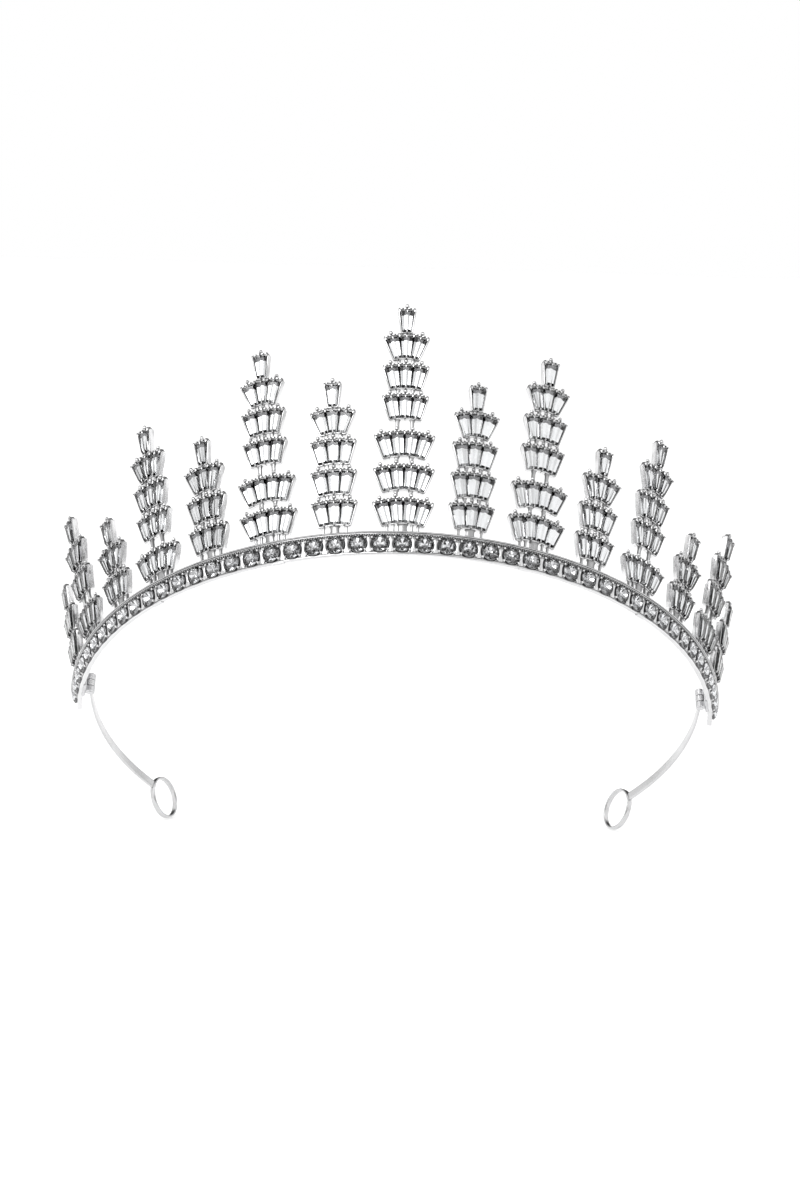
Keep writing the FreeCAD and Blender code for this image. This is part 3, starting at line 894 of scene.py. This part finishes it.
@dataclass
class Spire:
    """One spire: trays of baguettes stacked on struts, with knobs and claws.

    A fan's pair is its radius in millimetres and its step in degrees.
    """

    rows: tuple[int, ...]
    wall: float = 0.35
    first_row: float = 4.85
    step_wide: float = 7.8
    step_wide_to_three: float = 8.8
    step_three: float = 7.15
    step_top: float = 6.1
    wide_fan: tuple[float, float] = (11.6, 11.0)
    narrow_fan: tuple[float, float] = (6.6, 15.5)
    top_fan: tuple[float, float] = (8.0, 14.4)
    strut_x: float = 1.6
    strut_half: float = 0.42
    strut_depth: float = -0.9
    strut_front: float = -0.5
    stone_gap: float = 0.11
    twist: float = 0.02
    band_top: float = 2.6
    lean: float = 0.0

    def fans(self) -> list[Fan]:
        """Every row's fan: full rows, a narrower one under the single stone at the top.

        Returns:
            The fans from the bottom up.
        """
        fans: list[Fan] = []
        bottom = self.first_row
        for k, count in enumerate(self.rows):
            if k:
                below = self.rows[k - 1]
                if count == 1:
                    bottom += self.step_top
                elif below == 4:
                    bottom += self.step_wide if count == 4 else self.step_wide_to_three
                else:
                    bottom += self.step_three
            usual = self.narrow_fan if k == len(self.rows) - 2 else self.wide_fan
            radius, step = self.top_fan if count == 1 else usual
            fans.append(Fan(radius, step, count, bottom))
        return fans

    def tray(self, fan: Fan) -> Shape:
        """Tray with a dished back, rolled rim and a floor painted dark as shade: rounded outlines from
        back to floor.

        Args:
            fan: The row that it holds.

        Returns:
            The tray in the flat frame.
        """
        wall = self.wall
        # Each profile entry is grow, height and painted light level: painted shade is darkest on the
        # floor and inner wall, with full light on the outer wall.
        profile = [(-0.55, -1.6, 0.8), (-0.3, -1.62, 0.8), (-0.12, -1.74, 1), (wall - 0.14, -1.74, 1),
                   (wall, -1.62, 1), (wall, -0.5, 1), (wall - 0.05, -0.33, 0.5),
                   (wall - 0.17, -0.25, 0.9), (0.05, -0.27, 0.6), (-0.01, -0.4, 0.05),
                   (-0.01, -1.27, 0.0)]
        rings = []
        for grow, height, _ in profile:
            outline = rounded(fan.corners(grow), 0.32 + grow * 0.4)
            rings.append(np.column_stack([outline, np.full(len(outline), height)]))
        painted_light_levels = np.repeat([painted_light for _, _, painted_light in profile], len(rings[0]))
        return skinned(np.stack(rings)).with_painted_light(painted_light_levels)

    def baguette(self, fan: Fan) -> Shape:
        """Tapered stone: a step-cut crown over a foiled back of long shallow ridges.

        Both faces are grids of four lines along the stone by seven across.  A line's half width is
        r tan(step / 2), less the gap, and the inner line by the head hangs in two scallops.

        Args:
            fan: The row that the stone belongs to.

        Returns:
            The stone, drawn up the fan's y axis.
        """
        tangent = math.tan(math.radians(fan.step / 2))
        foot, head = fan.radius + 0.05, fan.radius + fan.length - 0.05

        def face(across: Sequence[float], border: float, insets: tuple[float, float], hang: float,
                 heights: Sequence[float]) -> np.ndarray:
            """Grid of one face.

            Args:
                across: The lines' places, from -1 to 1.
                border: Height all round.
                insets: Width of the bevels at the foot and the head.
                hang: Depth of the scallops.
                heights: Heights of the lines within.

            Returns:
                The grid's points.
            """
            scallop = np.array([0.0, 1.0, 0.85, 0.1, 0.85, 1.0, 0.0]) * hang
            along = np.array([np.full(7, foot), np.full(7, foot + insets[0]),
                              head - insets[1] - scallop, np.full(7, head)])
            half = along * tangent - self.stone_gap
            height = np.full((4, 7), border)
            height[1:3, 1:6] = heights
            return np.stack([half * np.array(across), along, height], axis=-1)

        back = face((-1, -0.86, -0.42, 0, 0.42, 0.86, 1), -0.4, (0.3, 0.85), 0.35,
                    (-0.72, -0.78, -0.73, -0.78, -0.72))
        crown = face((-1, -0.84, -0.4, 0, 0.4, 0.84, 1), -0.2, (0.3, 0.4), 0.25, [0.4] * 5)
        index = np.arange(28).reshape(4, 7)
        quads = np.stack([index[:-1, :-1], index[:-1, 1:], index[1:, 1:], index[1:, :-1]], axis=-1)
        under, over = quads[..., ::-1], len(back) * 7
        rim = np.concatenate([index[0, :-1], index[:-1, -1], index[-1, :0:-1], index[:0:-1, 0]])
        wall = np.stack([rim, np.roll(rim, -1), np.roll(rim, -1) + over, rim + over], axis=-1)
        # Painted reflection: the four keel facets take the bright foil (finish 1) and the other back
        # facets the darker foil (finish 2), standing in for dark reflections inside the stone.
        blocks = [under[1, 1:5], np.concatenate([under[0], under[1, ::5], under[2]]), wall,
                  quads.reshape(-1, 4) + over]
        points = np.concatenate([back, crown]).reshape(-1, 3)
        return Shape(points, blocks, [1, 2, 0, 0]).outward()

    def knob(self, top: float) -> Shape:
        """Small knob on a waisted stem over a stone's head: a profile turned about the stone's axis.

        Args:
            top: Distance of the stem's root up the fan's y axis.

        Returns:
            The knob, drawn up the fan's y axis.
        """
        profile = [(0.34, 0.0), (0.34, 0.35), (0.32, 0.58), (0.4, 0.74), (0.46, 0.98), (0.43, 1.24),
                   (0.28, 1.48), (0.06, 1.56)]
        # Painted shade: the stem is dark and the ball lighter.
        made = lathed(profile, 9).with_painted_light(np.repeat([0, 0, 0.05, 0.25, 0.7, 0.9, 0.7, 0.5], 9))
        upright = np.array([[1.0, 0, 0], [0, 0, -1.0], [0, 1.0, 0]])
        return made.moved(upright, (0, top, -0.75)).outward()

    def claw(self, foot: float, tip: float, thick: float) -> Shape:
        """Finger that stands outside the tray and bends over the stone.

        Its centre line runs up z at the foot and turns in towards the tip in a quarter curve.

        Args:
            foot: Distance of its root up the fan's y axis.
            tip: How far it reaches over, towards the stone.
            thick: Half width at its root.

        Returns:
            The claw, drawn up the fan's y axis.
        """
        t = np.linspace(0, 1, 6)
        bend = np.clip((t - 0.35) / 0.65, 0, 1) * math.pi / 2
        y = foot + tip * (1 - np.cos(bend))
        z = np.where(t < 0.35, -1.1 + t / 0.35 * 1.05, -0.05 + 0.36 * np.sin(bend))
        path = np.column_stack([np.zeros(6), y, z])
        along = np.gradient(path, axis=0)
        along /= np.linalg.norm(along, axis=1, keepdims=True)
        across = np.tile([1.0, 0.0, 0.0], (6, 1))
        width = thick * np.array([1.0, 1.0, 1.0, 0.95, 0.8, 0.35])
        made = carried(path, across, np.cross(along, across), width, width * 0.75, 7)
        # Painted shade: dark at the root, lighter towards the tip.
        return made.with_painted_light(np.repeat([0.0, 0.1, 0.3, 0.6, 0.9, 1], 7))

    def strut(self, x: float, low: float, high: float, width: float, painted_light: float = 0.8) -> Shape:
        """Post between two rows, flared at both ends: half width w (1 + 0.9 s^4), s from -1 to 1.

        Args:
            x: Its place along the band.
            low: Height of its foot.
            high: Height of its head.
            width: Half width at its middle.
            painted_light: Painted light level of its faces.

        Returns:
            The post in the flat frame.
        """
        s = np.linspace(-1, 1, 9)
        path = np.column_stack([np.full(9, x), low + (s + 1) / 2 * (high - low),
                                np.full(9, self.strut_depth)])
        across = np.tile([1.0, 0.0, 0.0], (9, 1))
        over = np.tile([0.0, 0.0, 1.0], (9, 1))
        flare = 1 + 0.9 * s ** 4
        made = carried(path, across, over, width * flare, 0.4 + 0.04 * s ** 4, 10, 3.0)
        # Painted shading: faces turned outwards and inwards are lighter than those turned sideways, and
        # both flared ends are darker.
        facing = np.abs(np.sin((np.arange(10) + 0.5) * math.pi / 5))
        return made.with_painted_light(painted_light * np.outer(1 - 0.7 * s ** 4, facing).ravel())

    def gallery(self, fan: Fan, under_top: bool) -> Shape:
        """Beaded ridge over the heads of a row: a ledge painted dark as shade and beads in even steps
        along the arc.

        Args:
            fan: The row.
            under_top: Whether the topmost stone stands on this row.

        Returns:
            The ridge in the flat frame.
        """
        per_stone = 4
        profile = [(0.05, -1.0), (0.24, -0.9), (0.3, -0.5), (0.34, -0.28), (0.24, -0.08), (0.04, -0.02)]
        # Painted shade: the beads darken towards their feet.
        bead = lathed(profile, 8).with_painted_light(np.repeat([0, 0, 0.1, 0.4, 0.9, 1], 8))
        head = fan.radius + fan.length + self.wall
        half = head * math.tan(math.radians(fan.step / 2))
        # Painted shade: the ledge is painted dark.
        ledge = soft_box((-half, half), (head - 0.1, head + 0.38), (-1.1, -0.35), 0.12).with_painted_light(0.12)
        places = (np.arange(fan.count * per_stone) + 0.5) * fan.step / per_stone + fan.edges[0]
        turns = fan.turns
        if under_top:
            places, turns = places[np.abs(places) > fan.step * 0.6], turns[turns != 0]
        return together([fan.spread(bead.shifted(0.0, head + 0.12), places), fan.spread(ledge, turns)])

    def row(self, fan: Fan, under_top: bool) -> list[Shape]:
        """Tray, gallery, knobs and claws of one row.

        Args:
            fan: The row.
            under_top: Whether the topmost stone stands on this row.

        Returns:
            The row's shapes in the flat frame.
        """
        head = fan.radius + fan.length
        turns = fan.turns[fan.turns != 0] if under_top else fan.turns
        corner = (head + self.wall * 0.7) / math.cos(math.radians(fan.step / 2))
        return [self.tray(fan), self.gallery(fan, under_top),
                fan.spread(self.knob(head + self.wall / 2), turns),
                fan.spread(self.claw(corner, -0.75, 0.27), fan.edges),
                fan.spread(self.claw(head + self.wall * 0.6, -0.8, 0.2), fan.turns),
                fan.spread(self.claw(fan.radius - self.wall * 0.6, 0.6, 0.22), fan.turns)]

    def feet(self) -> list[Shape]:
        """Central lug and posts from the band's top to the lowest row, each up to the row's arc.

        Returns:
            The feet in the flat frame.
        """
        root, head, radius = self.band_top - 0.06, self.first_row - 0.15, self.wide_fan[0]
        # The last number of each post is its painted light level.
        pieces = [self.strut(0.0, root, head, 0.95, 0.5)]
        for x in ((-3.3, -2.0, 2.0, 3.3) if self.rows[0] == 4 else (-2.5, 2.5)):
            drop = math.sqrt(radius ** 2 - x ** 2) - radius
            pieces.append(self.strut(x, root, head + drop, 0.27, 0.6))
        return pieces

    def metal(self) -> Shape:
        """The whole setting: feet, rows and the struts between them.

        Returns:
            The setting in the flat frame.
        """
        fans = self.fans()
        pieces = self.feet()
        for k, fan in enumerate(fans):
            pieces += self.row(fan, k == len(fans) - 2)
            if k + 1 < len(fans):
                low, high = fan.bottom + fan.length + 0.1, fans[k + 1].bottom - 0.15
                if fans[k + 1].count == 1:
                    # The last number of each post is its painted light level; where none is given it is
                    # 0.8.
                    pieces.append(self.strut(0.0, low, high, 0.9))
                else:
                    pieces += [self.strut(x, low, high, self.strut_half, 0.55)
                               for x in (-self.strut_x, self.strut_x)]
        return together(pieces)

    def crystals(self) -> Shape:
        """Every stone of the spire, each set by hand with its own small twist about its length.

        Returns:
            The stones in the flat frame.
        """
        hand = np.random.default_rng(len(self.rows) * 16 + self.rows[0])
        stones = []
        for fan in self.fans():
            for turn in fan.turns:
                stone = self.baguette(fan)
                stone.points[:, 2] += stone.points[:, 0] * hand.normal(0.0, self.twist)
                stones.append(fan.spread(stone, np.array([turn])))
        return together(stones)

    def leaned(self, shape: Shape) -> Shape:
        """A shape leaned further outwards over the front edge of the feet.

        Args:
            shape: The shape in the flat frame.

        Returns:
            The leaned copy.
        """
        c, s = math.cos(math.radians(self.lean)), math.sin(math.radians(self.lean))
        rows = np.array([[1, 0, 0], [0, c, s], [0, -s, c]])
        pivot = np.array([0.0, self.band_top, self.strut_front])
        return shape.moved(rows, pivot - pivot @ rows)

    def build(self, name: str, angle: float, finishes: Finishes) -> None:
        """Make and dress this spire at its place on the band.

        Args:
            name: The spire's name, as its nodes begin.
            angle: Degrees from the front.
            finishes: Every material.
        """
        setting = Ticket(name + "_setting", (name + "_frame",), "spire_metal")
        make_piece(setting, RING.on_band(self.leaned(self.metal()), angle), [finishes.spire])
        crystals = Ticket(name + "_crystals", (name + "_stones",), "baguette_crystal",
                          crease=FACET_CREASE)
        make_piece(crystals, RING.on_band(self.leaned(self.crystals()), angle),
                   [finishes.baguette_crystal, finishes.foil, finishes.dark_foil])


@dataclass
class Spires:
    """All fifteen spires, the pattern running from the centre outwards on both sides."""

    step: float = 11.16
    patterns: tuple[tuple[int, ...], ...] = (
        (4, 4, 4, 3, 3, 3, 1), (3, 3, 3, 3, 1), (4, 4, 3, 3, 3, 1), (3, 3, 3, 1),
        (4, 3, 3, 3, 1), (3, 3, 1), (4, 3, 3, 1), (3, 3, 1))
    leans: tuple[float, ...] = (0, 0, 0, 0, 0, 2.5, 3.2, 0)

    def build(self, finishes: Finishes) -> None:
        """Make every spire.

        Args:
            finishes: Every material.
        """
        Spire(self.patterns[0]).build("center_spire", 0.0, finishes)
        for side, sign in SIDES.items():
            for k, rows in enumerate(self.patterns[1:], start=1):
                spire = Spire(rows, lean=self.leans[k])
                spire.build(f"{side}_spire_{k}", k * self.step * sign, finishes)


# ---------------------------------------------------------------- hinges, arms and end loops

@dataclass
class SideArm:
    """Hinge on the inside of the band's end, a flat strip and the round loop at its end."""

    side: str
    hinge_angle: float = 80.0
    hinge_radius: float = 71.6
    barrel_radius: float = 1.05
    barrel_half: float = 2.4
    knuckle_half: float = 0.75
    leaf_radius: float = 72.65
    pin_radius: float = 0.45
    end_angle: float = 121.5
    end_radius: float = 68.3
    middle_radius: float = 69.3
    strip_half_width: float = 1.1
    root_half_width: float = 0.7
    root_reach: float = 1.7
    strip_half_thickness: float = 0.3
    root_taper: float = 1.2
    loop_radius: float = 4.85
    loop_half_width: float = 0.65
    loop_drop: float = 1.3

    @property
    def sign(self) -> int:
        """-1 on the left and 1 on the right."""
        return SIDES[self.side]

    def ring_point(self, angle: np.ndarray | float, radius: np.ndarray | float) -> np.ndarray:
        """Point of the ring's plane at an angle from the front, on this side."""
        a = np.radians(np.asarray(angle, float) * self.sign)
        return np.stack([radius * np.sin(a), -radius * np.cos(a), np.zeros_like(a)], axis=-1)

    def at_hinge(self, shape: Shape) -> Shape:
        """A shape of the hinge's own frame (x outwards, y along the band, z up) set at its pin.

        Args:
            shape: The shape in the hinge's frame.

        Returns:
            The copy in the ring frame.
        """
        a = math.radians(self.hinge_angle * self.sign)
        out = np.array([math.sin(a), -math.cos(a), 0.0])
        along = np.array([math.cos(a), math.sin(a), 0.0])
        rows = np.array([out, along, [0.0, 0.0, 1.0]])
        return shape.moved(rows, out * self.hinge_radius).outward()

    def knuckle(self, low: float, high: float) -> Shape:
        """Short barrel round the pin with eased ends.

        Args:
            low: Height of its lower end.
            high: Height of its upper end.

        Returns:
            The barrel in the hinge's frame.
        """
        r, bore, ease = self.barrel_radius, self.pin_radius + 0.03, 0.14
        return lathed([(bore, low), (r - ease, low), (r, low + ease), (r, high - ease),
                       (r - ease, high), (bore, high)], 28, closed=True)

    def bracket(self) -> Shape:
        """Leaf against the band with two knuckles on lugs.

        Returns:
            The bracket in the ring frame.
        """
        inner = self.knuckle_half + 0.1
        reach = self.leaf_radius - self.hinge_radius
        # Painted shade: the leaf is a little darker than full light and the lugs darker still.
        leaf = soft_box((reach, reach + 0.75), (-2.5, 2.5), (-2.2, 2.2), 0.3).with_painted_light(0.9)
        pieces = [leaf]
        for low, high in ((-self.barrel_half, -inner), (inner, self.barrel_half)):
            pieces.append(self.knuckle(low, high))
            pieces.append(soft_box((0.5, reach + 0.3), (-0.75, 0.75), (max(low, -2.2), min(high, 2.2)),
                                   0.15).with_painted_light(0.7))
        return together([self.at_hinge(piece) for piece in pieces])

    def pin(self) -> Shape:
        """Pin with domed heads.

        Returns:
            The pin in the ring frame.
        """
        end, r = self.barrel_half, self.pin_radius
        profile = [(0.05, -end - 0.29), (0.45, -end - 0.26), (0.7, -end - 0.12), (0.75, -end - 0.01),
                   (r, -end), (r, end), (0.75, end + 0.01), (0.7, end + 0.12), (0.45, end + 0.26),
                   (0.05, end + 0.29)]
        return self.at_hinge(lathed(profile, 24))

    def strip(self) -> Shape:
        """Flat strip and its knuckle: the radius is a parabola through hinge, middle point and end.

        Returns:
            The arm in the ring frame.
        """
        angles = np.array([self.hinge_angle, (self.hinge_angle + self.end_angle) / 2, self.end_angle])
        radii = np.array([self.hinge_radius, self.middle_radius, self.end_radius])
        a = np.linspace(self.hinge_angle, self.end_angle, 61)
        path = self.ring_point(a, np.polyval(np.polyfit(angles, radii, 2), a))
        along = np.gradient(path, axis=0)
        along /= np.linalg.norm(along, axis=1, keepdims=True)
        upright = np.tile([0.0, 0.0, 1.0], (len(a), 1))
        from_pin = np.linalg.norm(path - path[0], axis=1)
        widen = np.clip((from_pin - self.root_reach) / self.root_taper, 0, 1)
        width = self.root_half_width + (self.strip_half_width - self.root_half_width) * widen
        ribbon = carried(path, upright, np.cross(along, upright), width,
                         np.full(len(a), self.strip_half_thickness), 16, 5.0)
        return together([ribbon, self.at_hinge(self.knuckle(-self.knuckle_half, self.knuckle_half))])

    def loop(self) -> Shape:
        """Round loop of the same strip, standing on edge: centre + R (along cos t + up sin t).

        Returns:
            The loop in the ring frame.
        """
        out = self.ring_point(self.end_angle, 1.0)
        along = np.array([-out[1], out[0], 0.0]) * self.sign
        outer = self.loop_radius + self.strip_half_thickness
        fall = self.loop_drop + self.strip_half_width
        centre = self.ring_point(self.end_angle, self.end_radius) + along * math.sqrt(
            outer ** 2 - fall ** 2) - np.array([0.0, 0.0, self.loop_drop])
        around = 72
        t = np.linspace(0, 2 * math.pi, around, endpoint=False)[:, None]
        radial = along * np.cos(t) + np.array([0.0, 0.0, 1.0]) * np.sin(t)
        path = centre + radial * self.loop_radius
        return carried(path, np.tile(out, (around, 1)), radial, np.full(around, self.loop_half_width),
                       np.full(around, self.strip_half_thickness), 16, 4.0, closed=True)

    def build(self, finishes: Finishes) -> None:
        """Make and dress this side's hinge, arm and loop.

        Args:
            finishes: Every material.
        """
        side = self.side
        body = Body(side + "_arm")
        make_piece(Ticket(side + "_hinge_leaf", (side + "_hinge_bracket",), "hinge_metal"),
                   self.bracket(), [finishes.hinge])
        make_piece(Ticket(side + "_hinge_rivet", (side + "_hinge_pin",), "hinge_metal"),
                   self.pin(), [finishes.hinge])
        make_piece(Ticket(side + "_side_strip", (side + "_arm",), "arm_metal", body),
                   self.strip(), [finishes.arm])
        make_piece(Ticket(side + "_tie_loop", (side + "_end_loop",), "arm_metal", body),
                   self.loop(), [finishes.arm])


# ---------------------------------------------------------------- studio

@dataclass(frozen=True)
class DarkPatch:
    """Part of the studio that gives no light: a direction with an inner and an outer half angle."""

    azimuth: float
    elevation: float
    inner: float
    outer: float
    depth: float

    def direction(self) -> tuple[float, float, float]:
        """Unit vector; azimuth 0 is the back of the set and 180 the camera's side."""
        a, e = math.radians(self.azimuth), math.radians(self.elevation)
        return (math.cos(e) * math.sin(a), math.cos(e) * math.cos(a), math.sin(e))


@dataclass(frozen=True)
class Viewpoint:
    """Where the camera stands, in metres, how it is turned, in degrees, and its lens."""

    place: tuple[float, float, float] = (-0.00735, -0.68378, 0.12085)
    azimuth: float = 0.6569
    dip: float = 7.6644
    roll: float = 1.5926
    lens: float = 88.97
    sensor: float = 36.0


@dataclass
class Studio:
    """White surround with a few dark patches, a pale floor, a soft light and the camera."""

    brightness: float = 1.2
    slats: float = 0.6
    floor_radius: float = 6.0
    floor_glow: float = 0.4
    lamp_place: tuple[float, float, float] = (-0.5, -0.7, 1.1)
    lamp_size: float = 0.9
    lamp_power: float = 6.0
    view: Viewpoint = field(default_factory=Viewpoint)
    patches: tuple[DarkPatch, ...] = (
        DarkPatch(0, 40, 25, 50, 0.97),
        DarkPatch(180, 4, 20, 36, 0.97),
        DarkPatch(44, 0, 6, 14, 0.25),
        DarkPatch(-44, 0, 6, 14, 0.25))

    def surround(self) -> None:
        """White room seen by the camera, with the dark patches only in reflections and light."""
        world = bpy.data.worlds.new("studio_surround")
        bpy.context.scene.world = world
        world.use_nodes = True
        graph = Graph(world.node_tree)
        heading = graph.value("TexCoord", "Generated")
        light: Any = 1.0
        for patch in self.patches:
            facing = graph.value("VectorMath", "Value", {"operation": "DOT_PRODUCT"},
                                 {0: heading, 1: patch.direction()})
            lobe = facing.smooth(math.cos(math.radians(patch.outer)),
                                 math.cos(math.radians(patch.inner)))
            light = (1 - lobe * patch.depth) * light
        louvre = graph.value("TexNoise", 0, None, {"Vector": heading, "Scale": 5.0, "Detail": 2.0})
        light = light * (self.slats + louvre.smooth(0.38, 0.55) * (1 - self.slats))
        seen = graph.value("LightPath", "Is Camera Ray")
        strength = light * self.brightness * (1 - seen) + seen
        shader = graph.node("Background", None, {"Color": (1, 1, 1, 1), "Strength": strength})
        graph.node("OutputWorld", None, {"Surface": shader.outputs[0]})

    def floor(self) -> None:
        """Wide sheet of pale paper just under the loops: (r cos a, r sin a) on growing rings."""
        low = CAD_BOX[0][2] - 0.0001
        rings, around = 12, 64
        radii = np.geomspace(0.02, self.floor_radius, rings)
        angle = np.linspace(0, 2 * math.pi, around, endpoint=False)
        x = radii[:, None] * np.cos(angle)
        y = radii[:, None] * np.sin(angle)
        points = np.stack([x, y, np.full_like(x, low)], axis=-1).reshape(-1, 3)
        index = np.arange(len(points)).reshape(rings, around)
        near, far = index[:-1], index[1:]
        quads = np.stack([near, far, np.roll(far, -1, 1), np.roll(near, -1, 1)], -1).reshape(-1, 4)
        mesh = bpy.data.meshes.new("paper_floor")
        mesh.from_pydata(points.tolist(), [], quads.tolist() + [index[0].tolist()])
        material, graph = fresh_material("pale_paper")
        place = graph.value("TexCoord", "Object")
        fibre = graph.value("TexNoise", 0, None, {"Vector": place, "Scale": 90.0, "Detail": 4.0})
        colour = graph.mixed(fibre, (0.93, 0.93, 0.93, 1), (0.96, 0.96, 0.96, 1))
        graph.dress({"Base Color": colour, "Roughness": 0.9, "Specular IOR Level": 0.1,
                     "Emission Color": colour, "Emission Strength": self.floor_glow})
        mesh.materials.append(material)
        floor = bpy.data.objects.new("paper_floor", mesh)
        bpy.context.scene.collection.objects.link(floor)

    def softbox(self) -> None:
        """Large soft light above and to the left of the camera."""
        light = bpy.data.lights.new("softbox", "AREA")
        light.shape = "DISK"
        light.size = self.lamp_size
        light.energy = self.lamp_power
        lamp = bpy.data.objects.new("softbox", light)
        lamp.location = self.lamp_place
        aim = Vector((0.0, 0.0, 0.02)) - lamp.location
        lamp.rotation_euler = aim.to_track_quat("-Z", "Y").to_euler()
        bpy.context.scene.collection.objects.link(lamp)

    def camera(self) -> None:
        """Camera on a long lens in front, a little above the band, with a slight roll."""
        view = self.view
        azimuth, dip, roll = (math.radians(v) for v in (view.azimuth, view.dip, view.roll))
        forward = Vector((math.sin(azimuth) * math.cos(dip), math.cos(azimuth) * math.cos(dip),
                          -math.sin(dip)))
        level = forward.cross(Vector((0, 0, 1))).normalized()
        over = level.cross(forward)
        right = level * math.cos(roll) + over * math.sin(roll)
        up = right.cross(forward)
        data = bpy.data.cameras.new("portrait_lens")
        data.lens = view.lens
        data.sensor_width = view.sensor
        data.clip_start = 0.01
        data.clip_end = 20.0
        camera = bpy.data.objects.new("camera", data)
        turn = Matrix((right, up, -forward)).transposed().to_4x4()
        camera.matrix_world = Matrix.Translation(view.place) @ turn
        bpy.context.scene.collection.objects.link(camera)
        bpy.context.scene.camera = camera

    def build(self) -> None:
        """Set up light, floor, camera and plain colour handling."""
        self.surround()
        self.floor()
        self.softbox()
        self.camera()
        bpy.context.scene.view_settings.view_transform = "Standard"


def main() -> None:
    """Build the tiara and its studio."""
    logging.basicConfig(level=logging.INFO, format="%(name)s: %(message)s")
    finishes = Finishes.made()
    Studio().build()
    Band().build(finishes)
    Spires().build(finishes)
    for side in SIDES:
        SideArm(side).build(finishes)


if __name__ == "__main__":
    main()
